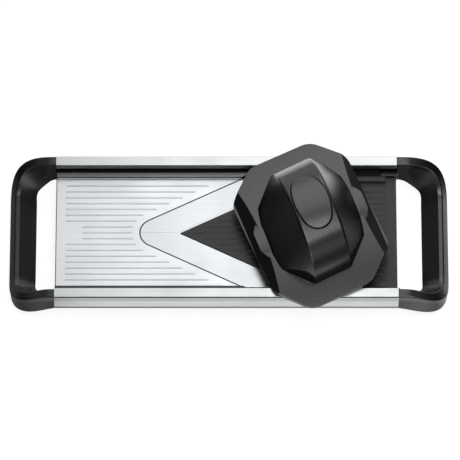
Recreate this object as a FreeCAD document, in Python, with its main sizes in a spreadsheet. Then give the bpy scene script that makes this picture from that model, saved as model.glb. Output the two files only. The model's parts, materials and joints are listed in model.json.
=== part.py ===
import FreeCAD, Part
import math
import os
import Sketcher
from types import SimpleNamespace
from FreeCAD import Placement, Rotation, Vector

# A mandoline slicer: two rails carry a ribbed steel plate with a V blade, a ribbed feed plate
# that a dial lowers, a loop handle at each end, and a hand guard with a sprung food pusher.
# X runs along the rails, Y across them, Z up from the table. Lengths in mm, angles in degrees.

dimensions = {
    # layout along X
    "rail_length": 298.8,
    "left_handle_length": 40.3,
    "right_handle_length": 44.7,
    # clearances
    "fit_gap": 0.2,
    "run_gap": 0.4,
    "slide_gap": 0.3,
    # rail section
    "rail_top": 34.0,
    "rail_height": 18.0,
    "rail_outer": 69.6,
    "rail_cap_width": 9.4,
    "rail_cap_depth": 5.5,
    "rail_cap_bevel": 0.6,
    "rail_groove": 0.8,
    "rail_wall": 4.6,
    "rail_face_height": 7.5,
    "rail_skirt_flare": 3.0,
    "rail_skirt_drop": 6.5,
    "rail_skirt_tuck": 1.6,
    "rail_flange_reach": 14.6,
    "rail_flange_thickness": 2.5,
    # guide strips
    "strip_height": 5.5,
    # slicing plate
    "plate_depth": 12.0,
    "plate_thickness": 1.2,
    "plate_half_width": 55.0,
    "plate_fold_reach": 58.0,
    # ribs on both plates
    "rib_pitch": 5.77,
    "rib_radius": 0.8,
    "rib_proud": 0.45,
    "rib_margin": 9.1,
    "rib_short_margin": 23.6,
    "rib_blade_margin": 7.0,
    "feed_rib_margin": 10.0,
    "feed_rib_nose_margin": 5.0,
    # V blade
    "blade_apex_inset": 106.5,
    "blade_slope": 0.505,
    "blade_width": 22.0,
    "blade_corner": 13.3,
    "blade_side_gap": 0.2,
    "blade_bevel": 3.0,
    "blade_edge": 0.3,
    "mitre_gap": 0.1,
    # blade carrier
    "carrier_thickness": 2.0,
    "carrier_outside": 6.0,
    "carrier_inside": 9.0,
    "carrier_tab_length": 14.0,
    "carrier_tab_reach": 60.0,
    "rivet_radius": 1.5,
    "rivet_head_radius": 2.5,
    "rivet_head_height": 1.4,
    "rivet_pitch": 16.0,
    # feed plate
    "feed_drop": 0.5,
    "feed_thickness": 3.0,
    "feed_side_gap": 0.6,
    "feed_nose_gap": 1.2,
    "feed_end_gap": 0.6,
    "feed_travel": 5.0,
    "side_bar_width": 4.8,
    "side_bar_height": 3.0,
    "side_bar_margin": 9.8,
    "side_bar_length": 62.0,
    # thickness adjuster
    "adjuster_inset": 42.2,
    "bridge_width": 26.0,
    "bridge_thickness": 2.0,
    "bridge_wing": 10.6,
    "stem_radius": 3.0,
    "stem_length": 12.5,
    "boss_radius": 7.0,
    "boss_height": 2.5,
    "knob_radius": 22.0,
    "knob_height": 4.7,
    "knob_hub_radius": 6.0,
    "knob_hub_height": 4.1,
    "knob_scallop_radius": 5.0,
    "knob_scallop_depth": 1.4,
    "ring_width": 2.6,
    "ring_thickness": 1.2,
    # screws
    "screw_radius": 1.5,
    "screw_head_radius": 2.8,
    "screw_head_height": 1.8,
    "screw_grip": 7.0,
    "bridge_screw_pitch": 14.0,
    # handles
    "spigot_length": 14.0,
    "loop_corner": 34.0,
    "loop_squareness": 3.5,
    "loop_roll_delay": 1.4,
    "bar_ridge_height": 12.0,
    "bar_width": 24.0,
    "bar_ridge_outer": 4.4,
    "bar_ridge_inner": 8.3,
    "bar_inner_height": 4.0,
    "bar_outer_height": 4.5,
    "bar_bottom": 1.0,
    "bar_edge_round": 1.6,
    # feet
    "foot_radius": 6.5,
    "foot_plug_radius": 2.5,
    "foot_plug_height": 3.0,
    "foot_inset": 12.0,
    "foot_span": 30.0,
    # hand guard: place and flange
    "guard_inset": 75.9,
    "guard_twist": 20.6,
    "flange_corner": 16.0,
    "flange_far_u": 28.0,
    "flange_far_v": 77.6,
    "flange_side_far_u": 53.9,
    "flange_side_far_v": 50.8,
    "flange_side_near_u": 57.8,
    "flange_side_near_v": 41.8,
    "flange_near_u": 30.1,
    "flange_near_v": 71.0,
    "flange_rim": 1.5,
    "flange_crown": 7.5,
    "flange_side_rise": 9.2,
    "flange_side_run": 12.6,
    "flange_side_foot": 55.2,
    "rest_radius": 25.4,
    "rest_offset": 27.4,
    "rest_shift": 3.0,
    "rest_dome_radius": 70.0,
    "rest_height": 10.2,
    # hand guard: faceted dome
    "dome_height": 48.0,
    "dome_seat": 3.0,
    "dome_wall": 2.5,
    "dome_crease": 17.4,
    "dome_side_angle": 57.0,
    "dome_side_run": 34.0,
    "dome_top_half": 30.0,
    "dome_top_drop": 6.0,
    "dome_end_half": 54.4,
    "dome_end_drop": 42.0,
    "dome_end_lean": 0.1,
    "dome_slant": 0.126,
    "dome_far_u": 15.7,
    "dome_far_v": 58.9,
    "dome_far_slope": 0.995,
    "dome_near_u": 15.4,
    "dome_near_v": 54.5,
    "dome_near_slope": 1.11,
    "dome_draft": 4.0,
    "dome_crease_round": 3.0,
    "dome_boss_radius": 3.5,
    "dome_boss_height": 11.0,
    "dome_boss_u": 35.0,
    "dome_boss_v": 22.0,
    "dome_tab_radius": 9.0,
    # runners
    "runner_length": 68.0,
    "runner_shift": 7.0,
    "runner_leg": 2.8,
    "runner_toe": 4.2,
    "runner_flange": 6.5,
    "runner_thickness": 2.5,
    "runner_screw_pitch": 48.0,
    "guard_screw_grip": 6.0,
    # food pusher
    "button_half_length": 26.0,
    "button_half_width": 15.5,
    "button_end_radius": 13.2,
    "button_proud": 0.8,
    "button_depth": 9.0,
    "button_groove": 0.6,
    "press_travel": 12.0,
    "guide_thickness": 3.0,
    "pusher_stem_radius": 5.0,
    "pusher_thickness": 3.0,
    "pusher_half_length": 43.0,
    "pusher_half_width": 24.0,
    "pusher_corner": 14.0,
    "pin_radius": 0.9,
    "pin_length": 5.5,
    "pin_seat": 1.5,
    "pin_pitch_u": 15.0,
    "pin_pitch_v": 20.0,
    "spring_radius": 8.0,
    "spring_wire": 0.6,
    "spring_turns": 5.0,
    "spring_slack": 2.0,
}


class Size:
    """A length together with the sheet expression that gives it."""

    def __init__(self, value, text):
        self.value = value
        self.text = text

    def __float__(self):
        return self.value

    def __add__(self, other):
        other = as_size(other)
        return Size(self.value + other.value, f"({self.text} + {other.text})")

    def __sub__(self, other):
        other = as_size(other)
        return Size(self.value - other.value, f"({self.text} - {other.text})")

    def __mul__(self, other):
        other = as_size(other)
        return Size(self.value * other.value, f"({self.text} * {other.text})")

    def __truediv__(self, other):
        other = as_size(other)
        return Size(self.value / other.value, f"({self.text} / {other.text})")

    def __neg__(self):
        return self * -1

    def __radd__(self, other):
        return as_size(other) + self

    def __rsub__(self, other):
        return as_size(other) - self

    def __rmul__(self, other):
        return as_size(other) * self

    def __rtruediv__(self, other):
        return as_size(other) / self


def as_size(value):
    if isinstance(value, Size):
        return value
    return Size(float(value), f"({float(value)!r})")


def root(size):
    return Size(math.sqrt(size.value), f"sqrt({size.text})")


def tangent(angle):
    return Size(math.tan(math.radians(angle.value)), f"tan({angle.text} * 1deg)")


# The document, its sheet of sizes, and the sizes by name.
doc = FreeCAD.newDocument("mandoline_slicer")
sheet = doc.addObject("Spreadsheet::Sheet", "sizes")
for row, (name, value) in enumerate(dimensions.items(), 1):
    sheet.set(f"A{row}", name)
    sheet.set(f"B{row}", str(value))
    sheet.setAlias(f"B{row}", name)
doc.recompute()
d = SimpleNamespace(**{name: Size(value, f"sizes.{name}") for name, value in dimensions.items()})

# Places that several pieces share.
overall = d.left_handle_length + d.rail_length + d.right_handle_length
rail_left = d.left_handle_length - overall / 2
rail_right = rail_left + d.rail_length
adjuster_x = rail_right - d.adjuster_inset
rail_bottom = d.rail_top - d.rail_height
rail_lip = d.rail_outer - d.rail_cap_width
rail_web = d.rail_outer - d.rail_wall
rail_skirt = d.rail_outer + d.rail_skirt_flare
flange_edge = d.rail_outer - d.rail_flange_reach
channel_floor = rail_bottom + d.rail_flange_thickness
channel_roof = d.rail_top - d.rail_cap_depth
strip_inner = flange_edge + d.fit_gap
feed_half_width = strip_inner - d.feed_side_gap
strip_outer = rail_web - d.fit_gap
strip_top = channel_floor + d.strip_height
plate_top = d.rail_top - d.plate_depth
plate_bottom = plate_top - d.plate_thickness
fold_top = strip_top + d.plate_thickness
carrier_bottom = plate_bottom - d.carrier_thickness
feed_top = plate_top - d.feed_drop
feed_bottom = feed_top - d.feed_thickness
bridge_floor = feed_bottom - d.boss_height - d.feed_travel - d.run_gap - d.knob_hub_height
guard_x = rail_right - d.guard_inset
guard_bottom = d.rail_top + d.slide_gap
dome_base = guard_bottom + d.dome_seat - d.slide_gap
dome_top = d.rail_top + d.dome_height
button_bottom = dome_top - d.button_depth
spring_pressed = 2 * d.spring_wire * d.spring_turns + d.spring_slack
guide_top = button_bottom - d.press_travel - spring_pressed
guide_bottom = guide_top - d.guide_thickness
pusher_top = guide_bottom - d.slide_gap
pusher_bottom = pusher_top - d.pusher_thickness

blade_half_span = d.plate_half_width - d.plate_thickness - d.blade_side_gap
blade_apex = rail_left + d.blade_apex_inset

# The V: a line at distance w outside the cutting edge meets Y = y at v_line(w, y).
v_sine = d.blade_slope / root(d.blade_slope * d.blade_slope + 1)


def v_line(outside, y):
    return blade_apex - outside / v_sine + y / d.blade_slope


tolerance = 1e-4


def bind(thing, prop, value):
    thing.setExpression(prop, as_size(value).text)


def arc_between(start, finish, radius, turn):
    chord = finish - start
    half = chord.Length / 2
    sag = radius - math.sqrt(radius * radius - half * half)
    right = Vector(chord.y, -chord.x, 0).normalize()
    middle = (start + finish) / 2 + right * (turn * sag)
    if turn > 0:
        return Part.Arc(start, middle, finish)
    return Part.Arc(finish, middle, start)


def draw(sketch, corners, arcs):
    """Closed outline through the corners. arcs gives an edge's (radius, turn), +1 anticlockwise."""
    points = [Vector(float(x), float(y), 0) for x, y in corners]
    count = len(points)
    ends = []
    for i in range(count):
        start, finish = points[i], points[(i + 1) % count]
        if i in arcs:
            radius, turn = arcs[i]
            sketch.addGeometry(arc_between(start, finish, float(radius), turn))
            ends.append((1, 2) if turn > 0 else (2, 1))
        else:
            sketch.addGeometry(Part.LineSegment(start, finish))
            ends.append((1, 2))
    for i in range(count):
        after = (i + 1) % count
        sketch.addConstraint(Sketcher.Constraint("Coincident", i, ends[i][1], after, ends[after][0]))
    for i, (x, y) in enumerate(corners):
        for kind, axis, place in (("DistanceX", -2, x), ("DistanceY", -1, y)):
            if float(place) == 0:
                sketch.addConstraint(Sketcher.Constraint("PointOnObject", i, ends[i][0], axis))
                continue
            number = sketch.addConstraint(
                Sketcher.Constraint(kind, -1, 1, i, ends[i][0], float(place)))
            bind(sketch, f"Constraints[{number}]", place)
    for i, (radius, turn) in arcs.items():
        number = sketch.addConstraint(Sketcher.Constraint("Radius", i, float(radius)))
        bind(sketch, f"Constraints[{number}]", radius)


def plane_of(body, role):
    return next(f for f in body.Origin.OriginFeatures if f.Role == role)


def sketch_on(body, name, plane, offset, corners, arcs=None):
    sketch = body.newObject("Sketcher::SketchObject", name)
    sketch.AttachmentSupport = [(plane_of(body, plane), "")]
    sketch.MapMode = "FlatFace"
    bind(sketch, "AttachmentOffset.Base.z", offset)
    draw(sketch, corners, arcs or {})
    return sketch


def pad(name, plane, corners, offset, length, arcs=None, taper=None):
    """A body padded from an outline: plane XY pads up, YZ towards +X and XZ towards -Y."""
    body = doc.addObject("PartDesign::Body", name)
    feature = body.newObject("PartDesign::Pad", name + "_pad")
    feature.Profile = sketch_on(body, name + "_sketch", plane, offset, corners, arcs)
    bind(feature, "Length", length)
    if taper is not None:
        bind(feature, "TaperAngle", taper)
    body.Tip = feature
    return body


def upright(edge):
    ends = edge.Vertexes
    if len(ends) != 2:
        return False
    return math.hypot(ends[0].X - ends[1].X, ends[0].Y - ends[1].Y) < tolerance


def round_corners(body, radius, chosen=upright):
    doc.recompute()
    base = body.Tip
    names = [f"Edge{n}" for n, edge in enumerate(base.Shape.Edges, 1) if chosen(edge)]
    fillet = body.newObject("PartDesign::Fillet", body.Name + "_round")
    fillet.Base = (base, names)
    bind(fillet, "Radius", radius)
    body.Tip = fillet
    return body


def box(name, low, high):
    solid = doc.addObject("Part::Box", name)
    for prop, start, end in zip(("Length", "Width", "Height"), low, high):
        bind(solid, prop, as_size(end) - start)
    for axis, start in zip("xyz", low):
        bind(solid, f"Placement.Base.{axis}", start)
    return solid


def rod(name, radius, length, place, along_x=False):
    """A cylinder that stands on its place, or lies from it towards +X."""
    solid = doc.addObject("Part::Cylinder", name)
    if along_x:
        solid.Placement = Placement(Vector(), Rotation(Vector(0, 1, 0), 90))
    bind(solid, "Radius", radius)
    bind(solid, "Height", length)
    for axis, start in zip("xyz", place):
        bind(solid, f"Placement.Base.{axis}", start)
    return solid


def fuse(name, pieces):
    result = doc.addObject("Part::MultiFuse", name)
    result.Shapes = pieces
    return result


def common(name, pieces):
    result = doc.addObject("Part::MultiCommon", name)
    result.Shapes = pieces
    return result


def cut(name, base, tools):
    result = doc.addObject("Part::Cut", name)
    result.Base = base
    result.Tool = tools[0] if len(tools) == 1 else fuse(name + "_tools", tools)
    return result


def group(name, pieces):
    result = doc.addObject("Part::Compound", name)
    result.Links = pieces
    return result


def put_on_guard(piece):
    """Turns a piece made in the guard's own frame to the guard's place on the rails."""
    piece.Placement = Placement(Vector(), Rotation(Vector(0, 0, 1), float(d.guard_twist)))
    bind(piece, "Placement.Base.x", guard_x)
    bind(piece, "Placement.Rotation.Angle", d.guard_twist)
    return piece


nodes = []


def node(piece):
    nodes.append(piece)
    return piece


def screw(name, x, y, seat, length):
    """A pan-head screw that goes up from its seat, with its head below."""
    head = rod(name + "_head", d.screw_head_radius, d.screw_head_height,
               (x, y, seat - d.screw_head_height))
    shank = rod(name + "_shank", d.screw_radius, length, (x, y, seat))
    return fuse(name, [head, shank])


def screw_hole(name, x, y, bottom, depth):
    return rod(name, d.screw_radius + d.fit_gap / 2, depth, (x, y, bottom))


sides = (("rear", 1), ("front", -1))
ends = (("left", -1, rail_left, d.left_handle_length), ("right", 1, rail_right, d.right_handle_length))
handle_screw_inset = d.spigot_length / 2
handle_screw_y = (flange_edge + rail_web) / 2 + d.fit_gap
channel_hole_depth = d.screw_grip - d.bridge_thickness - d.rail_flange_thickness + d.run_gap
bridge_screw_y = rail_web - d.screw_head_radius + d.fit_gap


def frame_screw_places(sign):
    """Label, X and Y of the screws up through one rail: two for the handles, two for the bridge."""
    places = [("left", rail_left + handle_screw_inset, sign * handle_screw_y),
              ("right", rail_right - handle_screw_inset, sign * handle_screw_y)]
    for step in (-1, 1):
        x = adjuster_x + step * d.bridge_screw_pitch / 2
        places.append((f"bridge{step + 1}", x, sign * bridge_screw_y))
    return places


# Rails: a cap with a lip and a shadow groove along each edge, an outer wall, a flared skirt and an
# inner bottom flange.
groove_low = d.rail_top - d.rail_cap_bevel - d.rail_groove
for side, sign in sides:
    section = [
        (rail_lip + d.rail_cap_bevel, d.rail_top),
        (d.rail_outer - d.rail_cap_bevel, d.rail_top),
        (d.rail_outer, d.rail_top - d.rail_cap_bevel),
        (d.rail_outer - d.rail_groove, d.rail_top - d.rail_cap_bevel),
        (d.rail_outer - d.rail_groove, groove_low),
        (d.rail_outer, groove_low),
        (d.rail_outer, d.rail_top - d.rail_face_height),
        (rail_skirt, d.rail_top - d.rail_face_height - d.rail_skirt_drop),
        (rail_skirt - d.rail_skirt_tuck, rail_bottom),
        (flange_edge, rail_bottom),
        (flange_edge, channel_floor),
        (rail_web, channel_floor),
        (rail_web, channel_roof),
        (rail_lip, channel_roof),
        (rail_lip, groove_low),
        (rail_lip + d.rail_groove, groove_low),
        (rail_lip + d.rail_groove, d.rail_top - d.rail_cap_bevel),
        (rail_lip, d.rail_top - d.rail_cap_bevel),
    ]
    bar = pad(f"{side}_rail_bar", "YZ_Plane", [(sign * y, z) for y, z in section],
              rail_left, d.rail_length)
    holes = [screw_hole(f"{side}_rail_{where}_hole", x, y, rail_bottom, d.rail_flange_thickness)
             for where, x, y in frame_screw_places(sign)]
    node(cut(f"{side}_rail", bar, holes))

# Guide strips fill the rails' channels between the handles' spigots.
tab_x = v_line(d.blade_width, strip_inner)
for side, sign in sides:
    start = rail_left + d.spigot_length + d.run_gap
    finish = rail_right - d.spigot_length - d.run_gap
    near, far = sorted((sign * strip_inner, sign * strip_outer), key=float)
    block = box(f"{side}_strip_block", (start, near, channel_floor), (finish, far, strip_top))
    tab_end = d.carrier_tab_reach + d.fit_gap
    near, far = sorted((sign * flange_edge, sign * tab_end), key=float)
    tools = [box(f"{side}_strip_pocket",
                 (tab_x - d.fit_gap, near, channel_floor),
                 (tab_x + d.carrier_tab_length + d.fit_gap, far, plate_bottom + d.fit_gap))]
    for where, x, y in frame_screw_places(sign)[2:]:
        tools.append(screw_hole(f"{side}_strip_{where}_hole", x, y, channel_floor, channel_hole_depth))
    node(cut(f"{side}_guide_strip", block, tools))

# Slicing plate: sheet with its edges folded up and out over the strips, a V cut-out and ribs.
fold_inner = d.plate_half_width - d.plate_thickness
half_section = [
    (d.plate_half_width, plate_bottom),
    (d.plate_half_width, strip_top),
    (d.plate_fold_reach, strip_top),
    (d.plate_fold_reach, fold_top),
    (fold_inner, fold_top),
    (fold_inner, plate_top),
]
section = half_section + [(-y, z) for y, z in reversed(half_section)]
plate_start = rail_left + d.fit_gap
v_reach = d.plate_fold_reach + d.run_gap
sheet_blank = pad("slicing_plate_sheet", "YZ_Plane", section, plate_start,
                  v_line(d.blade_width, v_reach) - plate_start)
v_corner_x = v_line(d.blade_width + d.fit_gap, 0)
v_end_x = v_line(d.blade_width + d.fit_gap, v_reach)
v_tool = pad("slicing_plate_v", "XY_Plane",
             [(v_corner_x, 0), (v_end_x, -v_reach), (v_end_x + d.blade_width, -v_reach),
              (v_end_x + d.blade_width, v_reach), (v_end_x, v_reach)],
             carrier_bottom, fold_top - carrier_bottom + d.run_gap)
round_corners(v_tool, d.blade_corner,
              lambda edge: upright(edge) and abs(edge.Vertexes[0].Y) < tolerance)
rib_half_count = 9
rib_corner = d.blade_corner + d.rib_blade_margin
rib_corner_x = v_line(d.blade_width + d.rib_blade_margin, 0) + rib_corner / v_sine
rib_z = plate_top + d.rib_proud - d.rib_radius


def rib_end(y):
    """X where a rib of the steel plate stops short of the blade's rounded V."""
    straight = v_line(d.blade_width + d.rib_blade_margin, y)
    if float(y) < float(rib_corner) * math.cos(math.atan(float(d.blade_slope))):
        return rib_corner_x - root(rib_corner * rib_corner - y * y)
    return straight


plate_ribs = []
for i in range(-rib_half_count, rib_half_count + 1):
    margin = d.rib_short_margin if abs(i) < 2 else d.rib_margin
    start = rail_left + margin
    length = rib_end(abs(i) * d.rib_pitch) - start
    plate_ribs.append(rod(f"plate_rib_{i + rib_half_count}", d.rib_radius, length,
                          (start, i * d.rib_pitch, rib_z), along_x=True))
node(fuse("slicing_plate", [cut("slicing_plate_blank", sheet_blank, [v_tool])] + plate_ribs))

# V blade: two mirrored strips that meet at a mitre, ground on the underside of the cutting edge.
corner_x = v_line(d.blade_width, 0) + d.blade_corner / v_sine
touch_y = d.blade_corner / root(d.blade_slope * d.blade_slope + 1)
touch_x = v_line(d.blade_width, touch_y)
for side, sign in sides:
    mitre = d.mitre_gap / 2
    outline = [
        (v_line(0, mitre), mitre),
        (v_line(0, blade_half_span), blade_half_span),
        (v_line(d.blade_width, blade_half_span), blade_half_span),
        (touch_x, touch_y),
        (corner_x - root(d.blade_corner * d.blade_corner - mitre * mitre), mitre),
    ]
    blade = pad(f"{side}_blade", "XY_Plane", [(x, sign * y) for x, y in outline],
                plate_bottom, d.plate_thickness, arcs={3: (d.blade_corner, sign)})
    doc.recompute()
    base = blade.Tip
    ground = blade.newObject("PartDesign::Chamfer", f"{side}_blade_bevel")
    edge_middle = Part.Vertex(float(v_line(0, blade_half_span / 2)),
                              sign * float(blade_half_span) / 2, float(plate_bottom))
    edge_name = next(f"Edge{n}" for n, edge in enumerate(base.Shape.Edges, 1)
                     if edge.distToShape(edge_middle)[0] < tolerance)
    ground.Base = (base, [edge_name])
    ground.ChamferType = "Two distances"
    bind(ground, "Size", d.plate_thickness - d.blade_edge)
    bind(ground, "Size2", d.blade_bevel)
    blade.Tip = ground
    node(blade)

# Blade carrier: a V frame under the plate's edge and the blades, with tabs into the strips.
outer_w = d.blade_width + d.carrier_outside
inner_w = d.blade_width - d.carrier_inside
carrier_half = d.plate_half_width
frame_v = pad("blade_carrier_v", "XY_Plane", [
    (v_line(outer_w, 0), 0),
    (v_line(outer_w, carrier_half), -carrier_half),
    (v_line(inner_w, carrier_half), -carrier_half),
    (v_line(inner_w, 0), 0),
    (v_line(inner_w, carrier_half), carrier_half),
    (v_line(outer_w, carrier_half), carrier_half),
], carrier_bottom, d.carrier_thickness)
tabs = []
rivets = []
rivet_holes = []
for side, sign in sides:
    inside = carrier_half - d.rail_flange_thickness
    near, far = sorted((sign * inside, sign * d.carrier_tab_reach), key=float)
    tabs.append(box(f"carrier_{side}_tab", (tab_x, near, carrier_bottom),
                    (tab_x + d.carrier_tab_length, far, plate_bottom)))
    for i in (1, 2, 3):
        y = i * d.rivet_pitch - d.rivet_head_radius
        x = v_line(d.blade_width - d.carrier_inside / 2, y)
        head = rod(f"rivet_head_{side}_{i}", d.rivet_head_radius, d.rivet_head_height,
                   (x, sign * y, carrier_bottom - d.rivet_head_height))
        shank = rod(f"rivet_shank_{side}_{i}", d.rivet_radius, d.carrier_thickness,
                    (x, sign * y, carrier_bottom))
        rivets.append(fuse(f"rivet_{side}_{i}", [head, shank]))
        rivet_holes.append(rod(f"rivet_hole_{side}_{i}", d.rivet_radius + d.fit_gap / 2,
                               d.carrier_thickness, (x, sign * y, carrier_bottom)))
node(cut("blade_carrier", fuse("blade_carrier_frame", [frame_v] + tabs), rivet_holes))
node(group("blade_rivets", rivets))

# Feed plate: V nose behind the cutting edge, ribs, raised side bars and a boss for the stem.
feed_end = rail_right - d.feed_end_gap
feed_side_x = v_line(-d.feed_nose_gap, feed_half_width)
feed_slab = pad("feed_plate_slab", "XY_Plane", [
    (v_line(-d.feed_nose_gap, 0), 0),
    (feed_side_x, -feed_half_width),
    (feed_end, -feed_half_width),
    (feed_end, feed_half_width),
    (feed_side_x, feed_half_width),
], feed_bottom, d.feed_thickness)
feed_pieces = [feed_slab]
bar_end = rail_right - d.side_bar_margin
bar_inner = feed_half_width - d.side_bar_width
for side, sign in sides:
    near, far = sorted((sign * bar_inner, sign * feed_half_width), key=float)
    bar = pad(f"feed_{side}_bar", "XY_Plane", [
        (bar_end - d.side_bar_length, near), (bar_end, near),
        (bar_end, far), (bar_end - d.side_bar_length, far),
    ], feed_bottom, d.feed_thickness + d.side_bar_height)
    feed_pieces.append(round_corners(bar, d.side_bar_width / 4))
feed_rib_z = feed_top + d.rib_proud - d.rib_radius
for i in range(1 - rib_half_count, rib_half_count):
    start = v_line(-d.feed_nose_gap - d.feed_rib_nose_margin, abs(i) * d.rib_pitch)
    length = rail_right - d.feed_rib_margin - start
    feed_pieces.append(rod(f"feed_rib_{i + rib_half_count}", d.rib_radius, length,
                           (start, i * d.rib_pitch, feed_rib_z), along_x=True))
feed_pieces.append(rod("feed_boss", d.boss_radius, d.boss_height,
                       (adjuster_x, 0, feed_bottom - d.boss_height)))
node(fuse("feed_plate", feed_pieces))
node(rod("adjuster_stem", d.stem_radius, d.stem_length - d.boss_height,
         (adjuster_x, 0, feed_bottom - d.stem_length)))

# Bridge: a floor with the dial's bearing hole, welded between two brackets screwed under the rails.
leg_inner = feed_half_width + 2 * d.run_gap
leg_outer = leg_inner + d.bridge_thickness
wing_end = leg_outer + d.bridge_wing
bracket_section = [
    (leg_inner, bridge_floor),
    (leg_outer, bridge_floor),
    (leg_outer, rail_bottom - d.bridge_thickness),
    (wing_end, rail_bottom - d.bridge_thickness),
    (wing_end, rail_bottom),
    (leg_inner, rail_bottom),
]
bridge_start = adjuster_x - d.bridge_width / 2
floor_plate = box("bridge_floor_plate", (bridge_start, -leg_inner, bridge_floor),
                  (bridge_start + d.bridge_width, leg_inner, bridge_floor + d.bridge_thickness))
bearing = rod("bridge_bearing", d.knob_hub_radius + d.run_gap, d.bridge_thickness,
              (adjuster_x, 0, bridge_floor))
bridge_pieces = [cut("bridge_floor_bored", floor_plate, [bearing])]
bridge_screws = []
handle_screws = []
for side, sign in sides:
    bracket = pad(f"{side}_bridge_bracket", "YZ_Plane", [(sign * y, z) for y, z in bracket_section],
                  bridge_start, d.bridge_width)
    holes = []
    for where, x, y in frame_screw_places(sign):
        if where.startswith("bridge"):
            seat = rail_bottom - d.bridge_thickness
            bridge_screws.append(screw(f"bridge_screw_{side}_{where}", x, y, seat, d.screw_grip))
            holes.append(screw_hole(f"strap_hole_{side}_{where}", x, y, seat, d.bridge_thickness))
        else:
            handle_screws.append(screw(f"handle_screw_{side}_{where}", x, y, rail_bottom,
                                       d.screw_grip - d.bridge_thickness))
    bridge_pieces.append(cut(f"{side}_bridge_bracket_drilled", bracket, holes))
node(group("adjuster_bridge", bridge_pieces))
node(group("bridge_screws", bridge_screws))
node(group("handle_screws", handle_screws))

# Dial: a captive nut turned from a disc and a hub, with finger scallops round its rim.
knob_top = bridge_floor - d.slide_gap
knob_bottom = knob_top - d.knob_height
hub_top = knob_top + d.slide_gap + d.knob_hub_height
bore = d.stem_radius + d.slide_gap
dial = doc.addObject("PartDesign::Body", "adjuster_knob")
turned = dial.newObject("PartDesign::Revolution", "adjuster_knob_turned")
turned.Profile = sketch_on(dial, "adjuster_knob_profile", "XZ_Plane", 0, [
    (bore, knob_bottom), (d.knob_radius, knob_bottom), (d.knob_radius, knob_top),
    (d.knob_hub_radius, knob_top), (d.knob_hub_radius, hub_top), (bore, hub_top)])
turned.ReferenceAxis = (turned.Profile[0], ["V_Axis"])
turned.Angle = 360
dial.Tip = turned
doc.recompute()
scallop_x = d.knob_radius + d.knob_scallop_radius - d.knob_scallop_depth
scallop_half = root(d.knob_scallop_radius * d.knob_scallop_radius / 2)
scallop = dial.newObject("PartDesign::Pocket", "adjuster_knob_scallop")
scallop.Profile = sketch_on(dial, "adjuster_knob_scallop_sketch", "XY_Plane", knob_top, [
    (scallop_x - scallop_half, scallop_half), (scallop_x - scallop_half, -scallop_half),
    (scallop_x + scallop_half, -scallop_half), (scallop_x + scallop_half, scallop_half)],
    arcs={0: (d.knob_scallop_radius, 1)})
bind(scallop, "Length", d.knob_height)
dial.Tip = scallop
doc.recompute()
scallops = dial.newObject("PartDesign::PolarPattern", "adjuster_knob_scallops")
scallops.Originals = [scallop]
scallops.Axis = (plane_of(dial, "Z_Axis"), [""])
scallops.Angle = 360
scallops.Occurrences = 16
dial.Tip = scallops
bind(dial, "Placement.Base.x", adjuster_x)
node(dial)
ring_bottom = bridge_floor + d.bridge_thickness + d.slide_gap
ring_outside = rod("ring_outside", d.knob_hub_radius + d.ring_width, d.ring_thickness,
                   (adjuster_x, 0, ring_bottom))
ring_inside = rod("ring_inside", d.knob_hub_radius + d.fit_gap / 2, d.ring_thickness,
                  (adjuster_x, 0, ring_bottom))
node(cut("retaining_ring", ring_outside, [ring_inside]))


# Handles: loops that leave the rails with the rails' own section and roll outwards and down to a
# low bar. A section is a ring of corners, each an inward distance from the loop's outside and a height.
rail_section = [
    (rail_skirt - rail_lip + d.rail_wall, rail_bottom + d.rail_cap_bevel),
    (rail_skirt - rail_lip, channel_roof),
    (rail_skirt - rail_lip - 2 * d.rail_cap_bevel, d.rail_top),
    (d.rail_skirt_flare, d.rail_top),
    (d.rail_skirt_flare, d.rail_top - d.rail_face_height),
    (0, d.rail_top - d.rail_face_height - d.rail_skirt_drop),
    (d.rail_skirt_tuck, rail_bottom),
    (rail_skirt - rail_lip + d.rail_wall - d.rail_skirt_tuck, rail_bottom),
]
bar_rise = d.bar_outer_height - d.bar_bottom
outer_round = [(bar_rise * (1 - math.cos(math.radians(angle))),
                d.bar_outer_height - bar_rise * math.sin(math.radians(angle)))
               for angle in (25, 50, 90)]
bar_section = [
    (d.bar_width, d.bar_inner_height),
    (d.bar_ridge_inner, d.bar_ridge_height),
    (d.bar_ridge_outer, d.bar_ridge_height),
    (0, d.bar_outer_height),
] + outer_round + [
    (d.bar_width - d.bar_inner_height + d.bar_bottom, d.bar_bottom),
]
upper_corners = (1, 2, 3, 4)
rounded_corners = (0, 2, 3, 5, 6, 7)
corner_angles = (0, 15, 30, 45, 60, 75, 90)
corner_share = 0.4
bar_shares = (0.85, 0.6, 0.3)


def rounded_ring(corners, radius):
    """Closed wire through the corners, with the rounded ones cut by an arc as far as they allow."""
    stops = []
    for i, corner in enumerate(corners):
        if i not in rounded_corners:
            stops.append((corner, None, corner))
            continue
        back = corners[i - 1] - corner
        on = corners[(i + 1) % len(corners)] - corner
        half = back.getAngle(on) / 2
        setback = min(radius / math.tan(half), corner_share * back.Length, corner_share * on.Length)
        inward = (Vector(back).normalize() + Vector(on).normalize()).normalize()
        depth = setback / math.cos(half) - setback * math.tan(half)
        stops.append((corner + Vector(back).normalize() * setback, corner + inward * depth,
                      corner + Vector(on).normalize() * setback))
    edges = []
    for i, (start, middle, finish) in enumerate(stops):
        if middle is not None:
            edges.append(Part.Arc(start, middle, finish).toShape())
        edges.append(Part.LineSegment(finish, stops[(i + 1) % len(stops)][0]).toShape())
    return Part.Wire(edges)


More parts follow.
